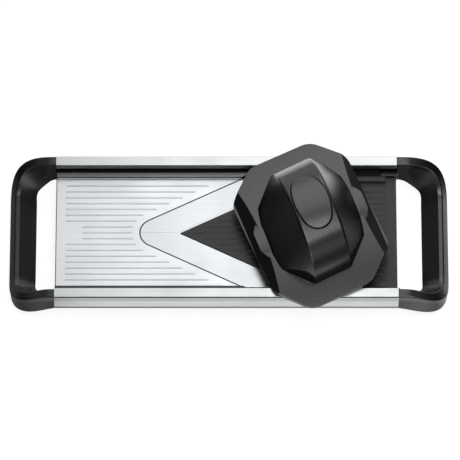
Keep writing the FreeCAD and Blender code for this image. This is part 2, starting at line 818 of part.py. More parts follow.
def loop_ring(outside, inward, progress, stretch):
    """Section of a loop at a share of the way from the rail to the bar, its depth stretched."""
    upper = (1 - math.cos(math.pi * progress ** float(d.loop_roll_delay))) / 2
    lower = 1 - (1 - progress) ** 2
    corners = []
    for i, (at_rail, at_bar) in enumerate(zip(rail_section, bar_section)):
        share = upper if i in upper_corners else lower
        depth = float(at_rail[0]) * (1 - share) + float(at_bar[0]) * share
        height = float(at_rail[1]) * (1 - share) + float(at_bar[1]) * share
        corners.append(outside + inward * (depth * stretch) + Vector(0, 0, height))
    return rounded_ring(corners, float(d.bar_edge_round))


def loop_shape(outward, rail_end, length):
    """Loft of a whole loop, from the rear rail's end round the bar to the front rail's end."""
    corner = float(d.loop_corner)
    power = float(d.loop_squareness)
    straight = float(length) - corner
    pivot_x = float(rail_end) + outward * straight
    pivot_y = float(rail_skirt) - corner
    bend = corner * math.pi / 2
    stations = [(Vector(float(rail_end), float(rail_skirt), 0), Vector(0, -1, 0), 0, 1)]
    for degrees in corner_angles:
        angle = math.radians(degrees)
        away = Vector(outward * math.sin(angle), math.cos(angle), 0)
        spread = abs(away.x) ** power + abs(away.y) ** power
        radius = corner / spread ** (1 / power)
        progress = (straight + bend * degrees / 90) / (straight + bend)
        stations.append((Vector(pivot_x, pivot_y, 0) + away * radius, -away, progress, radius / corner))
    bar_x = float(rail_end) + outward * float(length)
    for share in bar_shares:
        stations.append((Vector(bar_x, pivot_y * share, 0), Vector(-outward, 0, 0), 1, 1))
    middle = (Vector(bar_x, 0, 0), Vector(-outward, 0, 0), 1, 1)
    front = [(Vector(o.x, -o.y, o.z), Vector(i.x, -i.y, i.z), p, s) for o, i, p, s in reversed(stations)]
    rings = [loop_ring(*station) for station in stations + [middle] + front]
    return Part.makeLoft(rings, True, False)


for end, outward, rail_end, length in ends:
    loop = doc.addObject("Part::Feature", f"{end}_loop")
    loop.Shape = loop_shape(outward, rail_end, length)
    pieces = [loop]
    tools = []
    foot_x = rail_end + outward * (length - d.foot_inset)
    for side, sign in sides:
        x_ends = sorted((rail_end + outward * d.rail_skirt_tuck, rail_end - outward * d.spigot_length),
                        key=float)
        spigot_inner = leg_inner if outward > 0 else d.plate_fold_reach
        y_ends = sorted((sign * spigot_inner, sign * (strip_outer - d.fit_gap)), key=float)
        pieces.append(box(f"{end}_{side}_spigot", (x_ends[0], y_ends[0], channel_floor + d.fit_gap),
                          (x_ends[1], y_ends[1], strip_top - d.fit_gap)))
        tools.append(screw_hole(f"{end}_{side}_spigot_hole", rail_end - outward * handle_screw_inset,
                                sign * handle_screw_y, channel_floor, channel_hole_depth))
        tools.append(rod(f"{end}_{side}_foot_hole", d.foot_plug_radius + d.fit_gap / 2,
                         d.foot_plug_height + d.fit_gap, (foot_x, sign * d.foot_span, d.bar_bottom)))
        pad_disc = rod(f"{end}_{side}_foot_pad", d.foot_radius, d.bar_bottom - d.fit_gap,
                       (foot_x, sign * d.foot_span, 0))
        plug = rod(f"{end}_{side}_foot_plug", d.foot_plug_radius, d.foot_plug_height,
                   (foot_x, sign * d.foot_span, d.bar_bottom - d.fit_gap))
        node(fuse(f"{end}_{side}_foot", [pad_disc, plug]))
    node(cut(f"{end}_handle", fuse(f"{end}_handle_body", pieces), tools))


# Hand guard. Its pieces are drawn in the guard's own frame, u across and v along, and then turned
# to the guard's place. Outlines repeat after half a turn.
def half_turn(corners):
    return corners + [(-u, -v) for u, v in corners]


def inset_outline(corners, inset):
    """An anticlockwise outline with every edge moved in by the inset."""
    points = [Vector(float(u), float(v), 0) for u, v in corners]
    moved = []
    for i, (u, v) in enumerate(corners):
        before = (points[i] - points[i - 1]).normalize()
        after = (points[(i + 1) % len(points)] - points[i]).normalize()
        normal = Vector(-before.y - after.y, before.x + after.x, 0)
        step = normal * (2 / normal.dot(normal))
        moved.append((u + inset * step.x, v + inset * step.y))
    return moved


dome_limit = d.dome_crease + d.dome_side_run
dome_outline = half_turn([
    (d.dome_near_u, -d.dome_near_v),
    (dome_limit, d.dome_near_slope * (dome_limit - d.dome_near_u) - d.dome_near_v),
    (dome_limit, d.dome_far_v - d.dome_far_slope * (dome_limit - d.dome_far_u)),
    (d.dome_far_u, d.dome_far_v),
])
top_radius = (d.dome_top_half * d.dome_top_half + d.dome_top_drop * d.dome_top_drop) / (2 * d.dome_top_drop)


def arch_outline(inset, low):
    """The dome's arch along v: a wide top arc, tangent shoulder arcs and leaning ends."""
    normal_v = d.dome_top_half / top_radius
    normal_z = (top_radius - d.dome_top_drop) / top_radius
    run = d.dome_end_half - d.dome_top_half
    fall = d.dome_end_drop - d.dome_top_drop
    shoulder = (run * run + fall * fall) / (2 * (fall * normal_z - run * normal_v))
    end_normal_v = normal_v + run / shoulder
    end_normal_z = normal_z - fall / shoulder
    shoulder_v = d.dome_top_half - inset * normal_v
    shoulder_z = dome_top - d.dome_top_drop - inset * normal_z
    end_v = d.dome_end_half - inset * end_normal_v
    end_z = dome_top - d.dome_end_drop - inset * end_normal_z
    foot_v = end_v + d.dome_end_lean
    corners = [(-foot_v, low), (foot_v, low), (end_v, end_z), (shoulder_v, shoulder_z),
               (-shoulder_v, shoulder_z), (-end_v, end_z)]
    arcs = {2: (shoulder - inset, 1), 3: (top_radius - inset, 1), 4: (shoulder - inset, 1)}
    return corners, arcs


def round_creases(name, base):
    """Rounds the dome's two long creases."""
    def on_crease(edge):
        points = edge.Vertexes
        return (all(abs(abs(point.X) - float(d.dome_crease)) < tolerance for point in points)
                and max(point.Z for point in points) > float(dome_base + d.dome_seat))
    result = doc.addObject("Part::Fillet", name)
    result.Base = base
    radius = float(d.dome_crease_round)
    result.Edges = [(n, radius, radius) for n, edge in enumerate(base.Shape.Edges, 1) if on_crease(edge)]
    return result


def dome(name, inset, low, rounded=False):
    """The faceted dome, every face moved in by the inset, down to the height low."""
    corners, arcs = arch_outline(inset, low)
    crease = d.dome_crease - inset * tangent(d.dome_side_angle / 2)
    fall = tangent(d.dome_side_angle)
    body = doc.addObject("PartDesign::Body", name + "_facets")
    for part, start, way, drop, length in (("band", -crease, 1, 0, 2 * crease),
                                           ("right_slope", crease, 1, -fall, d.dome_side_run),
                                           ("left_slope", -crease, -1, -fall, d.dome_side_run)):
        arch = [(v + d.dome_slant * start, z) for v, z in corners]
        facet = body.newObject("PartDesign::Pad", f"{name}_{part}")
        facet.Profile = sketch_on(body, f"{name}_{part}_arch", "YZ_Plane", start, arch, arcs)
        facet.UseCustomVector = True
        facet.AlongSketchNormal = True
        facet.Direction = Vector(way, 0, 0)
        bind(facet, "Direction.y", way * d.dome_slant)
        bind(facet, "Direction.z", drop)
        bind(facet, "Length", length)
        body.Tip = facet
        doc.recompute()
    outline_inset = inset - (dome_base - low) * tangent(d.dome_draft)
    walls = pad(name + "_walls", "XY_Plane", inset_outline(dome_outline, outline_inset),
                low, dome_top - low, taper=-d.dome_draft)
    facets = round_creases(name + "_rounded", body) if rounded else body
    return common(name, [facets, walls])


def oval(name, grow, low, high):
    """A prism on the button's oval: side and end arcs that meet in line."""
    half_length = d.button_half_length + grow
    half_width = d.button_half_width + grow
    end_radius = d.button_end_radius + grow
    end_v = half_length - end_radius
    side_radius = (half_width * half_width + end_v * end_v - end_radius * end_radius) \
        / (2 * (half_width - end_radius))
    touch_u = end_radius * (side_radius - half_width) / (side_radius - end_radius)
    touch_v = end_v + end_radius * end_v / (side_radius - end_radius)
    corners = [(touch_u, -touch_v), (touch_u, touch_v), (-touch_u, touch_v), (-touch_u, -touch_v)]
    arcs = {0: (side_radius, 1), 1: (end_radius, 1), 2: (side_radius, 1), 3: (end_radius, 1)}
    return pad(name, "XY_Plane", corners, low, high - low, arcs)


boss_places = [(a * d.dome_boss_u, b * d.dome_boss_v) for a in (-1, 1) for b in (-1, 1)]
rim_top = guard_bottom + d.flange_rim

# Guard base: an eight-sided flange with a crowned top and sloping sides, finger rests, and a seat
# for the dome with four screw tabs.
flange_outline = half_turn([
    (d.flange_near_u, -d.flange_near_v),
    (d.flange_side_near_u, -d.flange_side_near_v),
    (d.flange_side_far_u, d.flange_side_far_v),
    (d.flange_far_u, d.flange_far_v),
])
flange_height = d.flange_rim + d.flange_side_rise
flange = round_corners(pad("flange_prism", "XY_Plane", flange_outline, guard_bottom, flange_height),
                       d.flange_corner)
crown_half = d.flange_far_v + d.flange_rim
crown_radius = (crown_half * crown_half + d.flange_crown * d.flange_crown) / (2 * d.flange_crown)
crown = pad("flange_crown_arch", "YZ_Plane",
            [(-crown_half, guard_bottom), (crown_half, guard_bottom),
             (crown_half, rim_top), (-crown_half, rim_top)],
            -dome_limit - d.flange_corner, 2 * (dome_limit + d.flange_corner),
            arcs={2: (crown_radius, 1)})
roof_edge = d.flange_side_near_u + d.flange_rim
roof_top = rim_top + d.flange_side_rise
roof_half = [(roof_edge, guard_bottom), (roof_edge, rim_top), (d.flange_side_foot, rim_top),
             (d.flange_side_foot - d.flange_side_run, roof_top)]
roof = pad("flange_roof", "XZ_Plane", roof_half + [(-u, z) for u, z in reversed(roof_half)],
           -crown_half, 2 * crown_half)
base_pieces = [common("flange_blank", [flange, crown, roof])]
for name, turn in (("right", 1), ("left", -1)):
    v = turn * d.rest_shift
    post = rod(f"{name}_rest_post", d.rest_radius, d.rest_height, (turn * d.rest_offset, v, guard_bottom))
    start = 0 if turn > 0 else -dome_limit
    dome_roll = rod(f"{name}_rest_roll", d.rest_dome_radius, dome_limit,
                    (start, v, guard_bottom + d.rest_height - d.rest_dome_radius), along_x=True)
    base_pieces.append(common(f"{name}_finger_rest", [post, dome_roll]))
seat_tool = dome("dome_seat_tool", -d.fit_gap, dome_base)
mouth_tool = dome("dome_mouth_tool", d.dome_wall, guard_bottom - d.dome_seat)
ring_body = cut("guard_ring", fuse("guard_ring_blank", base_pieces), [seat_tool, mouth_tool])
tab_height = dome_base - guard_bottom
base_tabs = [rod(f"base_tab_{n}", d.dome_tab_radius, tab_height, (u, v, guard_bottom))
             for n, (u, v) in enumerate(boss_places)]
tab_holes = [screw_hole(f"base_tab_hole_{n}", u, v, guard_bottom, tab_height)
             for n, (u, v) in enumerate(boss_places)]
tabbed_ring = fuse("guard_ring_tabbed", [ring_body] + base_tabs)
base_made = put_on_guard(cut("guard_base_made", tabbed_ring, tab_holes))

# Runners hook under the rails' lips and are screwed up into the guard base.
leg_outer = rail_lip - d.run_gap
leg_inner = leg_outer - d.runner_leg
toe_bottom = fold_top + d.run_gap
toe_top = channel_roof - d.run_gap
shelf_bottom = guard_bottom - d.runner_thickness
runner_screw_y = leg_inner - d.screw_head_radius - d.run_gap
guard_screws = []
base_holes = []
for side, sign in sides:
    section = [(leg_outer + d.runner_toe, toe_bottom), (leg_outer + d.runner_toe, toe_top),
               (leg_outer, toe_top), (leg_outer, guard_bottom),
               (leg_inner - d.runner_flange, guard_bottom), (leg_inner - d.runner_flange, shelf_bottom),
               (leg_inner, shelf_bottom), (leg_inner, toe_bottom)]
    middle = guard_x - sign * d.runner_shift
    shoe = pad(f"{side}_runner_shoe", "YZ_Plane", [(sign * y, z) for y, z in section],
               middle - d.runner_length / 2, d.runner_length)
    shoe_holes = []
    for step in (-1, 1):
        x = middle + step * d.runner_screw_pitch / 2
        y = sign * runner_screw_y
        tag = f"{side}_runner_{step + 1}"
        guard_screws.append(screw(f"{tag}_screw", x, y, shelf_bottom, d.guard_screw_grip))
        shoe_holes.append(screw_hole(f"{tag}_shoe_hole", x, y, shelf_bottom, d.runner_thickness))
        base_holes.append(screw_hole(f"{tag}_base_hole", x, y, guard_bottom,
                                     d.guard_screw_grip - d.runner_thickness + d.fit_gap))
    node(cut(f"{side}_runner", shoe, shoe_holes))
node(cut("guard_base", base_made, base_holes))
for n, (u, v) in enumerate(boss_places):
    guard_screws.append(put_on_guard(screw(f"dome_screw_{n}", u, v, guard_bottom, d.guard_screw_grip)))
node(group("guard_screws", guard_screws))

# Guard shell: the hollow dome, its creases rounded, with an oval hole for the button and bosses.
dome_outside = dome("dome_outside", 0, dome_base, rounded=True)
hollow = cut("dome_hollow", dome_outside, [
    dome("dome_inside", d.dome_wall, dome_base - d.dome_seat),
    oval("button_hole", d.button_groove, guide_top, dome_top + d.dome_wall),
])
boss_rods = [rod(f"dome_boss_{n}", d.dome_boss_radius, d.dome_boss_height, (u, v, dome_base))
             for n, (u, v) in enumerate(boss_places)]
bosses = common("dome_bosses", [fuse("dome_boss_rods", boss_rods),
                                dome("dome_boss_limit", d.dome_wall / 2, dome_base)])
boss_hole_depth = d.guard_screw_grip - tab_height + d.fit_gap
boss_holes = [screw_hole(f"dome_boss_hole_{n}", u, v, dome_base, boss_hole_depth)
              for n, (u, v) in enumerate(boss_places)]
node(put_on_guard(cut("guard_shell", fuse("guard_shell_bossed", [hollow, bosses]), boss_holes)))

# Food pusher: an oval button, its stem through a guide plate, a spring, and a plate of food pins.
corners, arcs = arch_outline(-d.button_proud, guide_top)
button_arch = pad("button_arch", "YZ_Plane", corners, -d.dome_crease, 2 * d.dome_crease, arcs)
button_prism = oval("button_prism", 0, button_bottom, dome_top + d.dome_wall)
node(put_on_guard(common("pusher_button", [button_arch, button_prism])))
guide_slab = box("guide_slab", (-dome_limit, -crown_half, guide_bottom),
                 (dome_limit, crown_half, guide_top))
guide_blank = common("pusher_guide_blank", [
    dome("guide_limit", d.dome_wall + d.fit_gap, dome_base), guide_slab])
guide_bore = rod("guide_bore", d.pusher_stem_radius + d.run_gap, d.guide_thickness, (0, 0, guide_bottom))
node(put_on_guard(cut("pusher_guide", guide_blank, [guide_bore])))
stem_blank = rod("pusher_stem_blank", d.pusher_stem_radius, button_bottom - pusher_top, (0, 0, pusher_top))
stem_bore = screw_hole("pusher_stem_bore", 0, 0, pusher_top, d.screw_grip - d.pusher_thickness + d.fit_gap)
node(put_on_guard(cut("pusher_stem", stem_blank, [stem_bore])))
pin_places = [(a * d.pin_pitch_u, b * d.pin_pitch_v) for a in (-1, 0, 1) for b in (-1.5, -0.5, 0.5, 1.5)]
pusher_slab = round_corners(pad("pusher_slab", "XY_Plane", [
    (d.pusher_half_width, -d.pusher_half_length), (d.pusher_half_width, d.pusher_half_length),
    (-d.pusher_half_width, d.pusher_half_length), (-d.pusher_half_width, -d.pusher_half_length),
], pusher_bottom, d.pusher_thickness), d.pusher_corner)
plate_holes = [screw_hole("pusher_plate_hole", 0, 0, pusher_bottom, d.pusher_thickness)]
pins = []
for n, (u, v) in enumerate(pin_places):
    plate_holes.append(rod(f"pin_hole_{n}", d.pin_radius + d.fit_gap / 2, d.pin_seat,
                           (u, v, pusher_bottom)))
    pins.append(rod(f"pin_{n}", d.pin_radius, d.pin_seat + d.pin_length,
                    (u, v, pusher_bottom - d.pin_length)))
node(put_on_guard(cut("pusher_plate", pusher_slab, plate_holes)))
node(put_on_guard(group("food_pins", pins)))
node(put_on_guard(screw("stem_screw", 0, 0, pusher_bottom, d.screw_grip)))


def biarc(start, start_way, finish, finish_way):
    """Two arcs from start to finish that keep both directions and meet in line."""
    span = finish - start
    ways = start_way + finish_way
    spread = 2 * (1 - start_way.dot(finish_way))
    along = span.dot(ways)
    reach = (math.sqrt(along * along + spread * span.dot(span)) - along) / spread
    first_turn = start + start_way * reach
    second_turn = finish - finish_way * reach
    meet = (first_turn + second_turn) / 2
    arcs = []
    for begin, turn, end in ((start, first_turn, meet), (meet, second_turn, finish)):
        weight = (end - begin).Length / 2 / reach
        middle = (begin + end + turn * (2 * weight)) / (2 + 2 * weight)
        arcs.append(Part.Arc(begin, middle, end).toShape())
    return arcs


def spring_shape(radius, wire, turns, low, high):
    """A coil of round wire between two heights, its centre line in quarter-turn biarcs."""
    rise = (high - low - 2 * wire) / (2 * math.pi * turns)

    def point(angle):
        return Vector(radius * math.cos(angle), radius * math.sin(angle), low + wire + rise * angle)

    def way(angle):
        return Vector(-radius * math.sin(angle), radius * math.cos(angle), rise).normalize()

    edges = []
    quarters = [i * math.pi / 2 for i in range(int(4 * turns) + 1)]
    for begin, end in zip(quarters, quarters[1:]):
        edges += biarc(point(begin), way(begin), point(end), way(end))
    ring = Part.Wire(Part.Circle(point(0), way(0), wire).toShape())
    fine = [point(i * math.pi / 18) for i in range(int(36 * turns) + 1)]
    least = min((a - b).Length for i, a in enumerate(fine) for b in fine[i + 18:]) - 2 * wire
    print(f"least gap between the spring's turns: {least:.2f} mm")
    return Part.Wire(edges).makePipeShell([ring], True, False)


spring = doc.addObject("Part::Feature", "pusher_spring")
spring.Shape = spring_shape(float(d.spring_radius), float(d.spring_wire), float(d.spring_turns),
                            float(guide_top), float(button_bottom))
node(put_on_guard(spring))

# Every feature has to be sound before a file is written.
doc.recompute()
for thing in doc.Objects:
    if "Invalid" in thing.State or "Error" in thing.State:
        raise RuntimeError(f"{thing.Name} failed: {thing.State}")
for piece in nodes:
    shape = piece.Shape
    if shape.isNull() or not shape.isValid() or not shape.Solids:
        raise RuntimeError(f"{piece.Label} has no sound solid")
    print(f"{piece.Label}: {len(shape.Solids)} solids, {shape.Volume:.1f} mm3")
os.makedirs("parts", exist_ok=True)
for piece in nodes:
    piece.Shape.exportStep(f"parts/{piece.Label}.step")
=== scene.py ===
import bpy
import json
import math
from mathutils import Matrix, Vector


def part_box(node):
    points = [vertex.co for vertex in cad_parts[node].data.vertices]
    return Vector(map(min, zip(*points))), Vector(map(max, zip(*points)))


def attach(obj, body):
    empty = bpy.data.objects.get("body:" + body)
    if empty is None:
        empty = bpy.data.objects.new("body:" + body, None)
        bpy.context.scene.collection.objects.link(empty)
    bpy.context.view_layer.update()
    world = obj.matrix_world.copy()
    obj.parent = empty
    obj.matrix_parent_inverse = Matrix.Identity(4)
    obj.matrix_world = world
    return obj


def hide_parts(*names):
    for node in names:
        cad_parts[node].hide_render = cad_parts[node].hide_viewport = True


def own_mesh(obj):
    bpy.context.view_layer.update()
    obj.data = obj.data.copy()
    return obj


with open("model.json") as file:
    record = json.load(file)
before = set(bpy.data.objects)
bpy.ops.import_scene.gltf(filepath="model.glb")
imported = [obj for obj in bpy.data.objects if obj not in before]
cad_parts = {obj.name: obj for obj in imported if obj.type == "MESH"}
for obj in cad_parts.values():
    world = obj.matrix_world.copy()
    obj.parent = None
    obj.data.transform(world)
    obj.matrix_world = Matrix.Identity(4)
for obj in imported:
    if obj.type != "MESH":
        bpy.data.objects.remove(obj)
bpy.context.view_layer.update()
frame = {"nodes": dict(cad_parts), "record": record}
nodes = frame["nodes"]
print("loaded", len(nodes), "solids")


def linear(hexText):  # sRGB hex to linear colour
    parts = [int(hexText[i:i + 2], 16) / 255 for i in (1, 3, 5)]
    return tuple(p / 12.92 if p <= 0.04045 else ((p + 0.055) / 1.055) ** 2.4
                 for p in parts) + (1.0,)


def addNode(tree, kind, inputs=None, **settings):
    node = tree.nodes.new("ShaderNode" + kind)
    for name, value in settings.items():
        setattr(node, name, value)
    for name, value in (inputs or {}).items():
        if isinstance(value, bpy.types.NodeSocket):
            tree.links.new(value, node.inputs[name])
        else:
            node.inputs[name].default_value = value
    return node


def startMaterial(name):
    material = bpy.data.materials.new(name)
    material.use_nodes = True
    tree = material.node_tree
    tree.nodes.clear()
    return material, tree


# ABS with a fine spark-eroded skin: near black, satin, a soft sheen that drifts over big faces
satinAbs = dict(dark="#050605", pale="#0b0d0c", rough=(0.25, 0.32), ior=1.64, grainMm=0.7, bumpMm=0.012,
                driftMm=38, edgeMm=0.5)
# the same ABS on the guard's dome, whose edges roll over more
domeAbs = dict(satinAbs, edgeMm=1.2)
# the button's rim rolls over further, which widens the dark groove round it
buttonAbs = dict(satinAbs, edgeMm=1.8)
# the ribbed plate is a tougher grey-black blend, a little paler
feedAbs = dict(dark="#1c1e1d", pale="#272a28", rough=(0.40, 0.52), ior=1.5, grainMm=0.8, bumpMm=0.014,
               driftMm=24, edgeMm=0.3)
# plain nylon of the sliding pieces, dead black with a waxy skin
waxyNylon = dict(dark="#070808", pale="#0d0e0e", rough=(0.5, 0.6), ior=1.3, grainMm=1.2, bumpMm=0.01,
                 driftMm=14, edgeMm=0.2)
# pale ink of the dial's numbers, matt
paleInk = dict(dark="#c4c5c0", pale="#d2d3ce", rough=(0.6, 0.75), ior=1.5, grainMm=0.5, bumpMm=0.004,
               driftMm=3, edgeMm=0.05)
# soft feet, matt and slightly dusty
softRubber = dict(dark="#161616", pale="#242423", rough=(0.72, 0.88), ior=1.5, grainMm=0.6, bumpMm=0.03,
                  driftMm=5, edgeMm=0.3)


def mouldedMaterial(name, look):
    material, tree = startMaterial(name)
    place = addNode(tree, "TexCoord").outputs["Object"]
    drift = addNode(tree, "TexNoise", {"Vector": place, "Scale": 1000 / look["driftMm"], "Detail": 3.0})
    grain = addNode(tree, "TexNoise", {"Vector": place, "Scale": 1000 / look["grainMm"], "Detail": 2.0})
    tone = addNode(tree, "ValToRGB", {"Fac": drift.outputs["Fac"]})
    tone.color_ramp.elements[0].position = 0.3
    tone.color_ramp.elements[0].color = linear(look["dark"])
    tone.color_ramp.elements[1].position = 0.75
    tone.color_ramp.elements[1].color = linear(look["pale"])
    rough = addNode(tree, "MapRange", {"Value": grain.outputs["Fac"], "From Min": 0.3, "From Max": 0.7,
                                       "To Min": look["rough"][0], "To Max": look["rough"][1]})
    edge = addNode(tree, "Bevel", {"Radius": look["edgeMm"] / 1000}, samples=6)
    skin = addNode(tree, "Bump", {"Height": grain.outputs["Fac"], "Distance": look["bumpMm"] / 1000,
                                  "Strength": 0.6, "Normal": edge.outputs["Normal"]})
    shader = addNode(tree, "BsdfPrincipled", {
        "Base Color": tone.outputs["Color"], "Roughness": rough.outputs["Result"],
        "Normal": skin.outputs["Normal"], "IOR": look["ior"]})
    addNode(tree, "OutputMaterial", {"Surface": shader.outputs["BSDF"]})
    return material


# silk anodised extrusion: pale, die lines along its length; painted shade darkens it in its grooves, its
# corners, the wall and along the lower lip, where shade falls: each pair is a height in mm and the share of
# the colour that is left there
silkAluminium = dict(dark="#c0c3c3", pale="#cccfcf", rough=(0.30, 0.40), lineMm=0.9, lengthMm=140,
                     bumpMm=0.004, edgeMm=0.35, turn=0,
                     paintedShadeByHeight=((19.5, 1.0), (19.8, 0.25), (20.9, 0.25), (21.2, 1.0), (26.4, 1.0),
                             (26.6, 0.72), (32.4, 0.72), (32.6, 0.15), (33.85, 0.2), (33.97, 1.0)))
# the seam between plate and blades, in mm: a dark line with a round nose and two straight flanks
vSeam = dict(noseX=-64.3, noseRadius=13.5, slope=0.505, halfMm=0.5, softMm=0.25, share=0.14)
# satin stainless sheet, brushed along the plate; painted shade darkens the ribs and the folds, which stand
# above it;
# the sheared left end is darker, and painted shade darkens the near fold in the rail's shade: axis, place in
# mm and share of the colour below it
satinSteel = dict(dark="#d3d6d8", pale="#dbdee0", rough=(0.34, 0.42), lineMm=0.7, lengthMm=60,
                  bumpMm=0.002, edgeMm=0.25, turn=0, seam=vSeam, darkeningSoftMm=0.3,
                  darkEndAndShadeBelow=(("X", -150.7, 0.2), ("Y", -53.9, 0.3)),
                  paintedShadeByHeight=((22.02, 1.0), (22.15, 0.86), (22.6, 0.86), (22.8, 0.06),
                          (24.8, 0.06), (25.0, 0.28)))
# ground blade steel: shorter, finer lines that slant across the edge
groundSteel = dict(dark="#bfc2c4", pale="#c8cbcd", rough=(0.30, 0.36), lineMm=0.6, lengthMm=26,
                   bumpMm=0.001, edgeMm=0.15, turn=math.radians(62), seam=vSeam)
# zinc plated screws, rivets and wire
zincSteel = dict(dark="#9a9da0", pale="#b9bcbe", rough=(0.28, 0.40), lineMm=0.8, lengthMm=2, bumpMm=0.004,
                 edgeMm=0.2, turn=0)


cloudsPerMetre = 30.0  # slow drift of the metals' gloss


def metalMaterial(name, look):
    material, tree = startMaterial(name)
    place = addNode(tree, "TexCoord").outputs["Object"]
    across = 1000 / look["lineMm"]
    along = addNode(tree, "Mapping", {"Vector": place, "Rotation": (0, 0, look["turn"]),
                                      "Scale": (1000 / look["lengthMm"], across, across)})
    lines = addNode(tree, "TexNoise", {"Vector": along.outputs["Vector"], "Scale": 1.0, "Detail": 4.0})
    cloud = addNode(tree, "TexNoise", {"Vector": place, "Scale": cloudsPerMetre, "Detail": 2.0})
    tone = addNode(tree, "ValToRGB", {"Fac": lines.outputs["Fac"]})
    tone.color_ramp.elements[0].position = 0.3
    tone.color_ramp.elements[0].color = linear(look["dark"])
    tone.color_ramp.elements[1].position = 0.7
    tone.color_ramp.elements[1].color = linear(look["pale"])
    rough = addNode(tree, "MapRange", {"Value": cloud.outputs["Fac"], "From Min": 0.3, "From Max": 0.7,
                                       "To Min": look["rough"][0], "To Max": look["rough"][1]})
    edge = addNode(tree, "Bevel", {"Radius": look["edgeMm"] / 1000}, samples=6)
    skin = addNode(tree, "Bump", {"Height": lines.outputs["Fac"], "Distance": look["bumpMm"] / 1000,
                                  "Strength": 0.5, "Normal": edge.outputs["Normal"]})
    colour = tone.outputs["Color"]
    # painted shade: the colour is darkened by height in grooves, corners, wall, lip, ribs and folds
    if "paintedShadeByHeight" in look:
        lowest, highest = look["paintedShadeByHeight"][0][0], look["paintedShadeByHeight"][-1][0]
        height = addNode(tree, "SeparateXYZ", {"Vector": place}).outputs["Z"]
        rise = addNode(tree, "MapRange", {"Value": height, "From Min": lowest / 1000,
                                          "From Max": highest / 1000})
        left = addNode(tree, "ValToRGB", {"Fac": rise.outputs["Result"]})  # the share of colour left under the painted shade
        stops = left.color_ramp.elements
        for number, (mm, share) in enumerate(look["paintedShadeByHeight"]):
            at = (mm - lowest) / (highest - lowest)
            stop = stops[0] if number == 0 else stops[-1] if at == 1 else stops.new(at)
            stop.color = (share, share, share, 1)
        colour = addNode(tree, "MixRGB", {"Fac": 1.0, "Color1": colour, "Color2": left.outputs["Color"]},
                         blend_type="MULTIPLY").outputs["Color"]
    if "seam" in look:
        seam = look["seam"]
        lean = math.atan(seam["slope"])
        noseX = seam["noseX"] / 1000
        spot = addNode(tree, "SeparateXYZ", {"Vector": place})
        aside = addNode(tree, "Math", {0: spot.outputs["Y"]}, operation="ABSOLUTE")
        half = addNode(tree, "CombineXYZ", {"X": spot.outputs["X"], "Y": aside.outputs[0]})
        # turned so that X runs along the flank and Y off it
        flank = addNode(tree, "Mapping", {
            "Vector": half.outputs["Vector"], "Rotation": (0, 0, -lean),
            "Location": (-noseX * math.cos(lean), noseX * math.sin(lean), 0)})
        off = addNode(tree, "SeparateXYZ", {"Vector": flank.outputs["Vector"]})
        ahead = addNode(tree, "Math", {0: off.outputs["X"], 1: 0.0}, operation="MINIMUM")
        away = addNode(tree, "VectorMath", {0: addNode(tree, "CombineXYZ", {
            "X": ahead.outputs[0], "Y": off.outputs["Y"]}).outputs["Vector"]}, operation="LENGTH")
        signed = addNode(tree, "Math", {0: away.outputs["Value"], 1: seam["noseRadius"] / 1000},
                         operation="SUBTRACT")
        gap = addNode(tree, "Math", {0: signed.outputs[0]}, operation="ABSOLUTE")
        kept = addNode(tree, "MapRange", {
            "Value": gap.outputs[0], "From Min": seam["halfMm"] / 1000,
            "From Max": (seam["halfMm"] + seam["softMm"]) / 1000, "To Min": seam["share"], "To Max": 1.0})
        colour = addNode(tree, "MixRGB", {"Fac": 1.0, "Color1": colour, "Color2": kept.outputs["Result"]},
                         blend_type="MULTIPLY").outputs["Color"]
    # darker below a place on an axis: a darker sheared left end, and painted shade on the near fold
    for axis, below, share in look.get("darkEndAndShadeBelow", ()):
        spot = addNode(tree, "SeparateXYZ", {"Vector": place}).outputs[axis]
        kept = addNode(tree, "MapRange", {"Value": spot, "From Min": below / 1000,
                                          "From Max": (below + look["darkeningSoftMm"]) / 1000,
                                          "To Min": share, "To Max": 1.0})
        colour = addNode(tree, "MixRGB", {"Fac": 1.0, "Color1": colour, "Color2": kept.outputs["Result"]},
                         blend_type="MULTIPLY").outputs["Color"]
    shader = addNode(tree, "BsdfPrincipled", {
        "Base Color": colour, "Metallic": 1.0, "Roughness": rough.outputs["Result"],
        "Normal": skin.outputs["Normal"]})
    addNode(tree, "OutputMaterial", {"Surface": shader.outputs["BSDF"]})
    return material


finishes = {
    "black_plastic": mouldedMaterial("satinAbs", satinAbs),
    "dome_plastic": mouldedMaterial("domeAbs", domeAbs),
    "button_plastic": mouldedMaterial("buttonAbs", buttonAbs),
    "feed_plastic": mouldedMaterial("feedAbs", feedAbs),
    "nylon": mouldedMaterial("waxyNylon", waxyNylon),
    "foot_rubber": mouldedMaterial("softRubber", softRubber),
    "pale_ink": mouldedMaterial("paleInk", paleInk),
    "rail_aluminium": metalMaterial("silkAluminium", silkAluminium),
    "plate_steel": metalMaterial("satinSteel", satinSteel),
    "blade_steel": metalMaterial("groundSteel", groundSteel),
    "fastener_steel": metalMaterial("zincSteel", zincSteel),
}
for part in frame["record"]["subparts"]:
    solid = nodes[part["node"]]
    solid.data.materials.clear()
    solid.data.materials.append(finishes[part["material_slot"]])
nodes["guard_shell"].data.materials[0] = finishes["dome_plastic"]
nodes["pusher_button"].data.materials[0] = finishes["button_plastic"]
print("finished", len(nodes), "solids")


level = 0.9  # a face whose normal is this steep counts as level


def pickFaces(piece, wanted):  # selects faces by place or normal and stays in edit mode
    bpy.ops.object.mode_set(mode="EDIT")
    bpy.ops.mesh.select_mode(type="FACE")
    bpy.ops.mesh.select_all(action="DESELECT")
    bpy.ops.object.mode_set(mode="OBJECT")
    for face in piece.data.polygons:
        face.select = wanted(face)
    bpy.ops.object.mode_set(mode="EDIT")


def selectOnly(piece):
    bpy.ops.object.select_all(action="DESELECT")
    piece.select_set(True)
    bpy.context.view_layer.objects.active = piece


